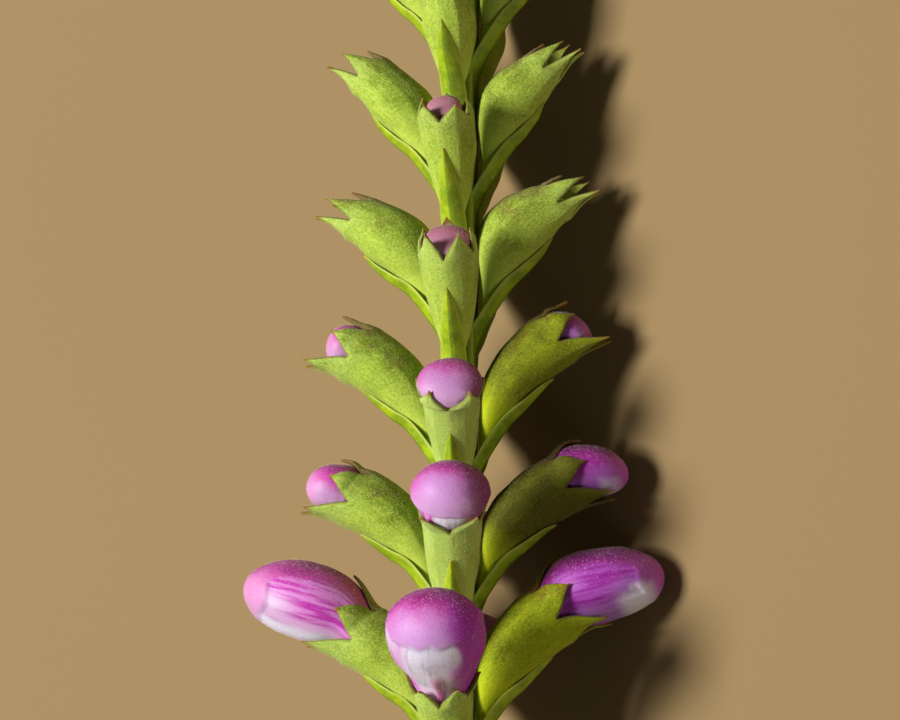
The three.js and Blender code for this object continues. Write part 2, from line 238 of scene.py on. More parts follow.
RIPENESS = {1: 1.0, 2: 0.96, 3: 0.6, 4: 0.48, 5: 0.3, 6: 0.3, 7: 0.1, 9: 0.0}
HOOD_MARGIN = (
    (0, 44, 54, 62, 70, 80, 100, 120, 150, 166, 180),
    (-1, -1, 0.1, 0.5, 0.7, 0.78, 0.77, 0.75, 0.8, 0.79, 0.83),
)  # turn, and how far along the corolla the hood's edge lies there
LIP_EDGE = (165, 122)  # turn, in a young and in a ripe bud
LIP_BLEND = 12  # degrees
HOOD_STEP = 0.08
HOOD_FADE = 0.2  # of the reach
LIP_SINK = 0.08
CREASE = (128, 6)  # turn and width, beside the lip
CREASE_DEPTH = 0.09
FOLD = (181, 8)  # turn and width, down the middle of the lip
FOLD_HEIGHT = 0.16
FOLD_END = (0.38, 0.52)
LOBE_TURN = (211, 13)  # turn and width of the lobe at the right of the lip
LOBE_PLACE = (0.44, 0.13)  # of the reach, and width
LOBE_HEIGHT = 0.22
WHITE_LOBE_TURN = (206, 9)
WHITE_LOBE_PLACE = (0.7, 0.09)
PETAL_VEINS = 15
PETAL_VEIN_HEIGHT = 0.014
SEAM_WIDTH = 0.016

# Finer forms of the bracts and the stem

BRACT_ROOT = ((0.45, -1.8, 0.9), (0.75, -0.7, 1.2), (1.15, 0.2, 1.3))  # out, up, width
BRACT_BLADE = ((0.12, 1.25), (0.35, 1.0), (0.58, 0.6), (0.7, 0.3), (0.78, 0.05))  # part, width
BRACT_THICKNESS = 0.28
BRACT_TIP_THICKNESS = 0.35  # over its thickness at the root
BRACT_GAP = 0.14  # widest, half way along the blade
BRACT_LEAST_GAP = 0.03
BRACT_FOLD = 0.5
BRACT_CURL = 0.12
MIDRIB_HEIGHT = 0.07
MIDRIB_WIDTH = 0.13  # over the half width

STEM_STEP = 0.3
STEM_SQUARENESS = 7  # 2 is round
GROOVE_DEPTH = 0.07
GROOVE_WIDTH = 16  # degrees from the middle of a face
RIPPLE_HEIGHT = 0.012
RIPPLES = 36  # round the stem
STEM_BUMP = 0.03
STEM_BUMP_SPACING = 5
CUT_RINGS = ((1.0, 0.0), (0.93, 0.03), (0.8, -0.02), (0.5, -0.08), (0.0, -0.1))
# of the cut end: over the stem's radius, and how far past its end

# Hairs, counted on a square millimetre

CALYX_HAIRS = 70
COROLLA_HAIRS = 60
STEM_HAIRS = 40
HAIR_LENGTH = 0.06
HAIR_LENGTH_RANGE = (0.6, 1.3)
HAIR_RADIUS = 0.005
HAIR_SPREAD = 0.35
HAIR_LEAN = 0.25  # towards the young tip
HAIR_SECTION = ((1, 0), (-0.5, 0.87), (-0.5, -0.87))
HAIR_FACES = ((0, 1, 3), (1, 2, 3), (2, 0, 3))

# Camera, as the photograph was taken: a little below the flowers and tilted up

CAMERA_RISE = 10  # degrees
CAMERA_ROLL = 0.76
CAMERA_DISTANCE = 250
CAMERA_NEAR = 0.01  # metres
PIXELS_PER_MM = 20
IMAGE_WIDTH = 900
SENSOR_WIDTH = 36
CAMERA_AIM = Vector((-0.475, 0, 22.85))

LIT_POINT = Vector((0, 0.005, 0.008))  # metres, the middle of the flowers
FLOOR_SIZE = 3  # metres


def lerp(low, high, share):
    return low + (high - low) * share


def smoothstep(value, low, high):
    share = np.clip((value - low) / (high - low), 0, 1)
    return share * share * (3 - 2 * share)


def peak(value, middle, width):
    """1 at the middle, and falling away smoothly on both sides."""
    return np.exp(-(((value - middle) / width) ** 2))


def wobble(points, wavelength, rng):
    """A smooth random value for each point, mostly between -1 and 1."""
    total = np.zeros(points.shape[:-1])
    for _ in range(5):
        direction = rng.normal(size=3)
        direction *= rng.uniform(0.7, 1.4) / np.linalg.norm(direction)
        phase = rng.uniform(0, 2 * np.pi)
        total += np.sin(points @ direction * 2 * np.pi / wavelength + phase)
    return total / 3


# Where things are on the plant


LAID_TURN = Matrix.Rotation(math.radians(-90 - LAID_PITCH), 3, "X") @ Matrix.Rotation(
    math.radians(LAID_ROLL), 3, "Z"
)


def press(height):
    """Heights over the surface: what would sink into it lies flat on it."""
    low = PRESS_HEIGHT * np.exp(np.minimum(height, PRESS_HEIGHT) / PRESS_HEIGHT - 1)
    return np.where(height < PRESS_HEIGHT, low, height)


def lay(points):
    laid = points @ np.array(LAID_TURN).T + np.array(LAID_SHIFT)
    laid[:, 2] = press(laid[:, 2])
    return laid * METRES


def node_height(node):
    spacings = [NODE_SPACING * TIP_RATIO ** max(0, below - FLOWER_NODES + 1) for below in range(1, node)]
    return sum(spacings)


def node_twist(node):
    return BASE_TWIST + TWIST_PER_NODE * max(0, node - TWIST_START_NODE)


def ranks_at(node):
    return [rank for index, rank in enumerate(RANKS) if index % 2 == node % 2]


class Flower:
    """A flower or young bud, and the curved centre line that its pieces share."""

    def __init__(self, node, rank):
        self.node = node
        self.rank = rank.name
        self.label = f"{node:02d}_{rank.name}"
        self.height = node_height(node)
        growth = GROWTH.get(self.label, Growth())
        self.turn = math.radians(rank.turn - node_twist(node) + growth.turn)
        age = min(1, max(0, (FLOWER_NODES - node) / (FLOWER_NODES - 1)))
        young = max(0, node - FLOWER_NODES)
        self.shrink = TIP_RATIO**young
        self.size = lerp(YOUNGEST_SIZE, 1, min(1, age / GROWN_AGE)) * self.shrink
        lean = lerp(YOUNGEST_LEAN, 1, min(1, age / LEANT_AGE)) * growth.lean
        lean *= YOUNG_LEAN if young else 1
        self.length = CALYX_LENGTH * self.size * growth.length
        self.corolla = BUDS.get(self.label)
        girth = growth.girth * (1 if self.corolla else CLOSED_FULLNESS)
        if self.rank == "front":
            girth *= FRONT_GIRTH.get(node, 1)
        self.radius = lerp(*CALYX_RADII, age) * girth * self.shrink
        self.closing = 0 if self.corolla else CALYX_CLOSING
        self.out = CALYX_BASE_OUT * self.shrink * (YOUNG_ROOT if young else 1)
        self.up = CALYX_BASE_UP * self.shrink
        base, mouth, last = (math.radians(angle * lean) for angle in rank.leans)
        self.base_lean = base
        self.bend = (mouth - base) / self.length
        self.straight_at = (last - base) / self.bend

    def points(self, along, above, across):
        """Points at a place along the centre line, above it and to its side."""
        arc = np.minimum(along, self.straight_at)
        straight = along - arc
        lean = self.base_lean + self.bend * arc
        arc_out = (math.cos(self.base_lean) - np.cos(lean)) / self.bend
        arc_up = (np.sin(lean) - math.sin(self.base_lean)) / self.bend
        out = self.out + arc_out + straight * np.sin(lean) - above * np.cos(lean)
        up = self.up + arc_up + straight * np.cos(lean) + above * np.sin(lean)
        return np.stack(np.broadcast_arrays(out, across, up), axis=-1)

    def ring_points(self, along, turn, half_thickness, half_width, rise=0.0):
        angle = np.radians(turn)
        above = rise + np.cos(angle) * half_thickness
        return self.points(along, above, -np.sin(angle) * half_width)

    def to_plant(self, points):
        """From the plane of the rank to the upright plant."""
        turn = Matrix.Rotation(self.turn, 3, "Z")
        return points @ np.array(turn).T + np.array((0, 0, self.height))

    def top_fullness(self, part, turn):
        """How far the upper side of the tube swells beyond its round shape."""
        full = UPPER_FULLNESS.get(self.label, 0) * smoothstep(part, 0.1, 0.6)
        full = full * lerp(1, 0.15, smoothstep(part, 0.75, 1.0))
        return full * np.clip(np.cos(np.radians(turn)) + 0.35, 0, 1)

    def tube_radius(self, part):
        swell = np.sin(np.clip(part, 0, 1) ** CALYX_SWELL_POWER * math.pi / 2)
        closed = 1 - self.closing * smoothstep(part, CLOSING_START, 1)
        return self.radius * lerp(CALYX_BASE_SHARE, 1, swell) * closed

    def wall(self, part):
        return lerp(CALYX_WALL, MOUTH_WALL, smoothstep(part, WALL_THINNING, 1)) * self.shrink

    def corolla_section(self, along):
        """Half thickness, half width and rise of the corolla."""
        bud = self.corolla
        share = (along - self.length) / bud.reach
        part = along / self.length
        room = self.tube_radius(part) - self.wall(part) - COROLLA_GAP
        swollen = np.clip(share / bud.widest, 0, 1)
        past = np.clip((share - bud.widest) / (1 - bud.widest), 0, 1)
        growing = np.sin(swollen * math.pi / 2) ** bud.shoulder
        half_width = lerp(bud.neck, bud.width / 2, growing)
        half_width = np.where(share < 0, np.minimum(half_width, room), half_width) * np.sqrt(1 - past**2)
        half_thickness = half_width * lerp(1, bud.thickness / bud.width, swollen)
        rise = bud.rise * smoothstep(share, *BUD_RISE_SHARES) - bud.sink * np.clip(share, 0, 1)
        return half_thickness, half_width, rise

    def corolla_extent(self, along, turn):
        """How far from the centre line the corolla reaches."""
        half_thickness, half_width, rise = self.corolla_section(along)
        angle = np.radians(turn)
        round_it = np.hypot(half_thickness * np.cos(angle), half_width * np.sin(angle))
        return rise * np.cos(angle) + round_it


# Meshes


class Surface:
    """Points, faces and named values, gathered from grids of points."""

    def __init__(self):
        self.points = []
        self.faces = []
        self.values = {}
        self.count = 0

    def add_grid(self, grid, closed=False, **values):
        """closed joins the last column to the first. A value that isn't given is 0."""
        rows, columns = grid.shape[:2]
        width = columns if closed else columns - 1
        for row in range(rows - 1):
            low = self.count + row * columns
            high = low + columns
            for column in range(width):
                beside = (column + 1) % columns
                self.faces.append((low + column, low + beside, high + beside, high + column))
        for name in values:
            self.values.setdefault(name, [np.zeros(self.count)])
        for name, held in self.values.items():
            given = np.broadcast_to(values.get(name, 0.0), (rows, columns))
            held.append(given.astype(float).ravel())
        self.points.append(grid.reshape(-1, 3))
        self.count += rows * columns


def add_piece(name, surface, material, nodes):
    """Makes an object whose mesh lies where the plant does, and that stands for solids."""
    mesh = bpy.data.meshes.new(name)
    mesh.from_pydata(lay(np.concatenate(surface.points)), [], surface.faces)
    for value_name, parts in surface.values.items():
        attribute = mesh.attributes.new(value_name, "FLOAT", "POINT")
        attribute.data.foreach_set("value", np.concatenate(parts).astype(np.float32))
    body = bmesh.new()
    body.from_mesh(mesh)
    bmesh.ops.remove_doubles(body, verts=body.verts, dist=1e-7)
    bmesh.ops.recalc_face_normals(body, faces=body.faces)
    body.to_mesh(mesh)
    body.free()
    mesh.polygons.foreach_set("use_smooth", [True] * len(mesh.polygons))
    piece = bpy.data.objects.new(name, mesh)
    bpy.context.scene.collection.objects.link(piece)
    piece.data.materials.append(material)
    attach(piece, "root")
    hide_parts(*nodes)
    return piece


# Calyx


def draw_tooth(flower, middle, tooth, rng):
    """A tooth's own length, sway in degrees, lift and bow."""
    in_front = flower.rank == "front"
    share, apart = FRONT_TEETH.get(flower.node, (1, 0)) if in_front else (1, 0)
    length = tooth.length * flower.size * rng.uniform(*LENGTH_RANGE) * share
    sway = rng.uniform(*SWAY_RANGE) + apart * math.copysign(1, middle - 180) * (tooth is LOWER_TOOTH)
    lift = tooth.lift * flower.shrink * rng.uniform(*LIFT_RANGE)
    bow = tooth.bow * flower.shrink * rng.uniform(*BOW_RANGE) * (not in_front)
    if not flower.corolla:
        length *= CLOSED_TOOTH_SHARES[middle]
        sway -= CLOSED_SWAY * math.sin(math.radians(middle)) * (tooth is SIDE_TOOTH)
    return length, sway, lift, bow


def tooth_width(tooth, rise):
    """Over the width at the notches, with rise from 0 there to 1 at the tip."""
    return np.maximum(TOOTH_TIP_WIDTH, (1 - rise) ** (tooth.power + tooth.taper * rise))


def calyx_lines(tooth, across, part, up):
    """Height of the ribs along the teeth and notches, and of the keel on the upper side."""
    ribs = RIB_HEIGHT * (peak(across, 0, 0.14) + 0.5 * np.abs(across) ** 12 * (1 - up))
    ribs = ribs * smoothstep(part, 0.1, 0.5) * (1 - 0.6 * up)
    keel = KEEL_HEIGHT * peak(across, 0, 0.3) * smoothstep(part, 0, 0.2) * (1 - smoothstep(part, 0.45, 0.8))
    return ribs + keel * (tooth is UPPER_TOOTH)


def add_calyx(surface, flower, rng, columns, tube_rows, tooth_rows):
    """A tube that divides into teeth, one patch of surface for each tooth and its stretch of tube."""
    across = np.linspace(-1, 1, columns + 1)[None, :]
    tube = np.linspace(-PEDICEL, 1, tube_rows + 1)[:, None]
    rise = np.linspace(0, 1, tooth_rows + 1)[1:, None]
    part = np.concatenate([tube, np.ones_like(rise)])
    up = np.concatenate([np.zeros_like(tube), rise])
    floor_row = int(np.argmin(np.abs(tube - CUP_FLOOR)))
    mouth = tube_rows
    seed = rng.integers(1 << 30)
    for middle, tooth in TEETH:
        length, sway, lift, bow = draw_tooth(flower, middle, tooth, rng)
        turn = middle + HALF_SPAN * across * tooth_width(tooth, up) + sway * up**SWAY_POWER
        slant = MOUTH_SLANT * np.clip(part, 0, 1) * np.cos(np.radians(turn)) * flower.shrink
        along = flower.length * part - slant + length * up
        raised = lift * up**2 + bow * np.sin(math.pi * up)
        tube_inner = flower.tube_radius(part) - flower.wall(part) + flower.top_fullness(part, turn)
        if flower.corolla:
            need = flower.corolla_extent(along, turn) + COROLLA_GAP
            held = lerp(tube_inner, np.maximum(tube_inner, need), smoothstep(up, 0, 0.2))
            inner = np.where(up > 0, held, tube_inner) + raised
        else:
            inner = tube_inner * lerp(1, tooth.closed, np.sin(up * math.pi / 2)) + CLOSED_RAISE * raised
        wall = lerp(flower.wall(part), TIP_WALL * flower.shrink, up)
        wall = wall * (1 - 0.6 * across**4 * np.clip(4 * up, 0, 1))
        outer = inner + wall + calyx_lines(tooth, across, part, up) * flower.shrink
        outside = flower.ring_points(along, turn, outer, outer)
        spacing = CALYX_BUMP_SPACING * flower.shrink
        bumpy = outer + CALYX_BUMP * wobble(outside, spacing, np.random.default_rng(seed))
        outside = flower.ring_points(along, turn, bumpy, bumpy)
        inside = flower.ring_points(along, turn, inner, inner)
        inside[floor_row] = flower.points(along[floor_row].mean(), 0.0, 0.0)
        base = np.stack([outside[0], outside[0]])
        base[1] = flower.points(-PEDICEL * flower.length, 0.0, 0.0)

        given = {
            "part": part + up,
            "tooth_across": np.abs(across),
            "upper": np.cos(np.radians(turn)),
            "sideways": np.sin(np.radians(turn)),
            "brown": tooth.brown,
            # the calyx's painted shade (below 0) or painted light (above 0)
            "painted_light_and_shade": PAINTED_LIGHT_AND_SHADE.get(flower.label, 0.0),
        }
        shape = {name: np.broadcast_to(value, turn.shape) for name, value in given.items()}
        within = {name: value[floor_row:] for name, value in shape.items()}
        surface.add_grid(flower.to_plant(outside), inside=0.0, **shape)
        surface.add_grid(flower.to_plant(inside[floor_row:]), inside=1.0, **within)
        for side in (0, -1):
            rim = np.stack([outside[mouth:, side], inside[mouth:, side]], axis=1)
            edge = {name: value[mouth:, side][:, None] for name, value in shape.items()}
            surface.add_grid(flower.to_plant(rim), inside=0.0, **edge)
        rim = np.stack([outside[-1], inside[-1]])
        edge = {name: value[-1] for name, value in shape.items()}
        surface.add_grid(flower.to_plant(rim), inside=0.0, **edge)
        surface.add_grid(flower.to_plant(base), inside=0.0, part=-PEDICEL)


def add_young_bud(surface, flower, columns):
    """The top of the corolla that still fills a closed calyx."""
    low, high = YOUNG_BUD_PARTS
    climb = np.linspace(0, math.pi / 2, YOUNG_BUD_ROWS)[:, None]
    turn = np.linspace(0, 360, columns, endpoint=False)[None, :]
    inner = flower.tube_radius(low) - flower.wall(low) + flower.top_fullness(low, turn)
    radius = (inner + YOUNG_BUD_SINK * flower.shrink) * np.cos(climb)
    along = flower.length * lerp(low, high, np.sin(climb))
    dome = flower.ring_points(along, turn, radius, radius)
    upper = np.cos(np.radians(turn))
    surface.add_grid(flower.to_plant(dome), closed=True, part=0.9, upper=upper, brown=0.6, inside=1.0)


# Corolla


def hood_margin(from_top, ripeness):
    """How far along the exposed corolla the hood's edge lies. In a young bud it is hidden."""
    margin = np.interp(from_top, *HOOD_MARGIN) * lerp(0.3, 1, smoothstep(ripeness, 0.3, 1.0))
    return margin - 0.6 * (1 - smoothstep(ripeness, 0.3, 0.6))


def petal_forms(flower, share, turn):
    """Where the hood, the lip and its folds are, from 0 to 1, and how far they stand out."""
    ripeness = RIPENESS[flower.node]
    from_top = np.abs((turn + 180) % 360 - 180)
    beyond = share - hood_margin(from_top, ripeness)
    hood = smoothstep(beyond, 0.0, 0.03)
    lip_edge = lerp(*LIP_EDGE, smoothstep(ripeness, 0.3, 1.0))
    marks = {
        "hood": hood,
        "lip": smoothstep(from_top, lip_edge, lip_edge + LIP_BLEND) * (1 - hood),
        "fold": peak(turn, *FOLD) * (1 - smoothstep(share, *FOLD_END)) * (ripeness > 0.8),
        "lobe": peak(turn, *LOBE_TURN) * peak(share, *LOBE_PLACE) * (flower.label == "01_front"),
        "seam": peak(beyond, 0, SEAM_WIDTH) * smoothstep(from_top, 60, 95),
    }
    step = HOOD_STEP * hood * np.exp(-np.clip(beyond, 0, None) / HOOD_FADE) * smoothstep(from_top, 45, 75)
    sink = LIP_SINK * (1 - hood) * smoothstep(from_top, 50, 90)
    crease = CREASE_DEPTH * peak(from_top, *CREASE) * (1 - hood)
    tongue = FOLD_HEIGHT * marks["fold"] + LOBE_HEIGHT * marks["lobe"]
    veins = PETAL_VEIN_HEIGHT * np.sin(np.radians(turn * PETAL_VEINS)) * (1 - smoothstep(share, 0.5, 0.9))
    fading = smoothstep(share, -0.1, 0.2) * np.sqrt(np.clip(1 - share, 0, 1))
    relief = (step - sink - crease + tongue + veins) * fading * math.sqrt(flower.corolla.width / 5)
    return marks, relief


def add_corolla(surface, flower, rng):
    bud = flower.corolla
    ripeness = RIPENESS[flower.node]
    start = flower.length - COROLLA_INSIDE
    widest = flower.length + bud.reach * bud.widest
    end = flower.length + bud.reach
    rear_rows, front_rows, columns = (round(lerp(*limits, ripeness)) for limits in PETAL_GRID)
    rear = np.linspace(start, widest, rear_rows)
    front = widest + (end - widest) * np.sin(np.linspace(0, math.pi / 2, front_rows)[1:])
    along = np.concatenate([rear, front])[:, None]
    turn = np.linspace(0, 360, columns, endpoint=False)[None, :]
    share = (along - flower.length) / bud.reach
    half_thickness, half_width, rise = flower.corolla_section(along)
    marks, relief = petal_forms(flower, share, turn)
    points = flower.ring_points(along, turn, half_thickness + relief, half_width + relief, rise)
    bumps = COROLLA_BUMP * wobble(points, COROLLA_BUMP_SPACING, rng)[..., None]
    middle = flower.points(along, rise, 0.0)
    spread = points - middle
    distance = np.maximum(np.linalg.norm(spread, axis=-1, keepdims=True), LEAST_SPREAD)
    points = middle + spread * (1 + bumps / distance)
    points[0] = middle[0]
    points[-1] = middle[-1]

    angle = np.radians(turn)
    plant_points = flower.to_plant(points)
    centre_height = plant_points[np.argmin(np.abs(share - 0.6)), :, 2].mean()
    nearer = 0.1 if flower.rank == "front" else 0.6 * (0.6 - share)
    white_lobe = peak(turn, *WHITE_LOBE_TURN) * peak(share, *WHITE_LOBE_PLACE)
    # Deeper purple and painted shade on the bud's right side, away from the light, but not on the white
    # lobe
    blush = -np.sin(angle) * half_width / (bud.width / 2) - 0.9 * white_lobe
    surface.add_grid(
        plant_points,
        closed=True,
        share=share,
        upper=np.cos(angle),
        sideways=np.sin(angle),
        high=(plant_points[..., 2] - centre_height) / (bud.thickness / 2) + nearer,
        blush=blush * bud.blush,
        # painted shade on the right rank's buds
        dusk=float(flower.rank == "right"),
        lilac=float(flower.rank == "front"),
        ripe=ripeness,
        **marks,
    )


# Bract


def spline(controls, steps):
    """A smooth curve through the control rows, with steps rows between each two."""
    controls = np.array(controls, dtype=float)
    before = 2 * controls[0] - controls[1]
    after = 2 * controls[-1] - controls[-2]
    rows = np.vstack([before, controls, after])
    share = np.linspace(0, 1, steps, endpoint=False)[:, None]
    pieces = []
    for p0, p1, p2, p3 in zip(rows, rows[1:], rows[2:], rows[3:]):
        square = 2 * p0 - 5 * p1 + 4 * p2 - p3
        cube = 3 * p1 - p0 - 3 * p2 + p3
        pieces.append(0.5 * (2 * p1 + (p2 - p0) * share + square * share**2 + cube * share**3))
    return np.vstack(pieces + [controls[-1:]])


def bract_line(flower, steps):
    """Out, up and half width along the bract, from the stem to its tip beside the calyx."""
    scale = flower.shrink
    blade_end = BRACT_BLADE[-1][0]
    controls = [(out * scale, up * scale, width * scale / 2) for out, up, width in BRACT_ROOT]
    for part, width in BRACT_BLADE:
        apart = BRACT_GAP * math.sin(math.pi * min(1, part / blade_end)) ** 2
        thin = lerp(0.5, 0.1, part / blade_end) * BRACT_THICKNESS
        depth = flower.tube_radius(part) + (BRACT_LEAST_GAP + apart + thin) * scale
        out, _, up = flower.points(part * flower.length, -depth, 0.0)
        controls.append((out, up, width * scale / 2))
    return spline(controls, steps)


def add_bract(surface, flower, rng, steps, columns):
    scale = flower.shrink
    rows = bract_line(flower, steps)
    level = np.zeros(len(rows))
    centre = np.stack([rows[:, 0], level, rows[:, 1]], axis=-1)
    tangent = np.gradient(centre, axis=0)
    tangent /= np.linalg.norm(tangent, axis=1, keepdims=True)
    above = np.stack([-tangent[:, 2], level, tangent[:, 0]], axis=-1)[:, None, :]
    half = np.maximum(rows[:, 2], 0.02 * scale)[:, None]
    place = np.linspace(0, 1, len(rows))[:, None]
    across = np.linspace(-1, 1, columns)[None, :]
    thickness = BRACT_THICKNESS * scale * lerp(1, BRACT_TIP_THICKNESS, place**2)
    fold = BRACT_FOLD * half * np.abs(across) ** 1.4
    blade = thickness * (1 - 0.8 * across**2)
    midrib = MIDRIB_HEIGHT * scale * peak(across, 0, MIDRIB_WIDTH) * (1 - place)
    curl = BRACT_CURL * scale * rng.uniform(-1, 1) * place**4
    side = np.stack([0 * half * across, half * across, 0 * half * across], axis=-1)
    lower = centre[:, None, :] + side + above * (fold - blade / 2 - midrib + curl)[..., None]
    upper = centre[:, None, :] + side + above * (fold + blade / 2 + curl)[..., None]
    loop = np.concatenate([lower, upper[:, ::-1]], axis=1)
    for end in (0, -1):
        loop[end] = centre[end]
    from_middle = np.concatenate([np.abs(across), np.abs(across)[:, ::-1]], axis=1)
    surface.add_grid(flower.to_plant(loop), closed=True, part=place, tooth_across=from_middle)


# Stem


def stem_half_width(height):
    """The stem is widest where it was cut, and narrows through the tip."""
    last_node = FLOWER_NODES + TIP_NODES
    heights = [-STALK_LENGTH, 0]
    widths = [STALK_HALF_WIDTH, STEM_HALF_WIDTH]
    for node in range(2, last_node + 1):
        narrowing = max(0, (node - TWIST_START_NODE) / (last_node - TWIST_START_NODE))
        heights.append(node_height(node))
        widths.append(lerp(STEM_HALF_WIDTH, STEM_TIP_HALF_WIDTH, narrowing))
    heights.append(heights[-1] + STEM_POINT_LENGTH)
    widths.append(STEM_POINT_HALF_WIDTH)
    return np.interp(height, heights, widths)


def stem_twist(height):
    nodes = range(1, FLOWER_NODES + TIP_NODES + 1)
    return np.interp(height, [node_height(node) for node in nodes], [node_twist(node) for node in nodes])


def around_stem(radius, angle, height):
    rings = np.broadcast_arrays(radius * np.cos(angle), radius * np.sin(angle), height)
    return np.stack(rings, axis=-1)


def add_stem(surface, rng, columns=64):
    top = node_height(FLOWER_NODES + TIP_NODES) + STEM_POINT_LENGTH
    height = np.concatenate([np.arange(-STALK_LENGTH, top, STEM_STEP), [top]])[:, None]
    turn = np.linspace(0, 2 * math.pi, columns, endpoint=False)[None, :]
    round_power = np.abs(np.cos(turn)) ** STEM_SQUARENESS + np.abs(np.sin(turn)) ** STEM_SQUARENESS
    square = round_power ** (-1 / STEM_SQUARENESS)
    from_face = (np.degrees(turn) + 45) % 90 - 45
    groove = GROOVE_DEPTH * peak(from_face, 0, GROOVE_WIDTH)
    ripple = RIPPLE_HEIGHT * np.sin(np.radians(from_face * RIPPLES))
    radius = stem_half_width(height) * (square - groove + ripple)
    angle = turn - np.radians(stem_twist(height))
    even = around_stem(radius, angle, height)
    grid = around_stem(radius + STEM_BUMP * wobble(even, STEM_BUMP_SPACING, rng), angle, height)
    surface.add_grid(grid, closed=True, corner=np.abs(from_face) / 45, cut=0.0)
    inward, past = (np.array(column)[:, None] for column in zip(*CUT_RINGS))
    edge_x, edge_y = grid[0, None, :, 0], grid[0, None, :, 1]
    cut_rings = np.broadcast_arrays(edge_x * inward, edge_y * inward, -STALK_LENGTH - past)
    surface.add_grid(np.stack(cut_rings, axis=-1), closed=True, corner=0.0, cut=1.1 - inward)
    point = np.broadcast_to(grid[-1].mean(axis=0), grid[-1].shape)
    surface.add_grid(np.stack([grid[-1], point]), closed=True)


# Hairs


def read_rows(collection, name, width, kind=float):
    """A property of every item in one of a mesh's collections."""
    values = np.empty(len(collection) * width, dtype=kind)
    collection.foreach_get(name, values)
    return values.reshape(-1, width)


def unit(vectors):
    return vectors / np.linalg.norm(vectors, axis=1, keepdims=True)


def add_hairs(name, piece, density, rng, material, bare=None):
    """Fine hairs as thin three-sided spikes, spread evenly over a piece but where bare is 1."""
    mesh = piece.data
    mesh.calc_loop_triangles()
    points = read_rows(mesh.vertices, "co", 3)
    normals = read_rows(mesh.vertices, "normal", 3)
    corners = read_rows(mesh.loop_triangles, "vertices", 3, np.int32)
    if bare:
        values = read_rows(mesh.attributes[bare].data, "value", 1)[:, 0]
        corners = corners[values[corners].mean(axis=1) < 0.5]
    a, b, c = (points[corners[:, index]] for index in range(3))
    area = np.linalg.norm(np.cross(b - a, c - a), axis=1) / 2
    count = int(area.sum() / METRES**2 * density)
    chosen = rng.choice(len(corners), size=count, p=area / area.sum())
    u, v = rng.uniform(size=(2, count, 1))
    over = (u + v) > 1
    u, v = np.where(over, 1 - u, u), np.where(over, 1 - v, v)
    root = a[chosen] + u * (b - a)[chosen] + v * (c - a)[chosen]
    up = unit(sum(normals[corners[chosen, index]] for index in range(3)))
    lean = rng.normal(size=(count, 3)) * HAIR_SPREAD
    lean[:, 1] += HAIR_LEAN
    reach = HAIR_LENGTH * METRES * rng.uniform(*HAIR_LENGTH_RANGE, size=(count, 1))
    tip = root + unit(up + lean) * reach
    side = unit(np.cross(up, rng.normal(size=(count, 3))))
    other = np.cross(up, side)
    thick = HAIR_RADIUS * METRES
    base = root - up * thick
    ring = [base + side * thick * x + other * thick * y for x, y in HAIR_SECTION]
    verts = np.stack(ring + [tip], axis=1).reshape(-1, 3)
    verts[:, 2] = np.maximum(verts[:, 2], 0)
    first = np.arange(count)[:, None] * (len(HAIR_SECTION) + 1)
    faces = np.concatenate([first + np.array(face) for face in HAIR_FACES])
    hair_mesh = bpy.data.meshes.new(name)
    hair_mesh.from_pydata(verts, [], faces.tolist())
    hairs = bpy.data.objects.new(name, hair_mesh)
    bpy.context.scene.collection.objects.link(hairs)
    hair_mesh.materials.append(material)
    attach(hairs, "root")


# Materials


def srgb(red, green, blue):
    channels = (channel / 255 for channel in (red, green, blue))
    return (*(c / 12.92 if c <= 0.04045 else ((c + 0.055) / 1.055) ** 2.4 for c in channels), 1)


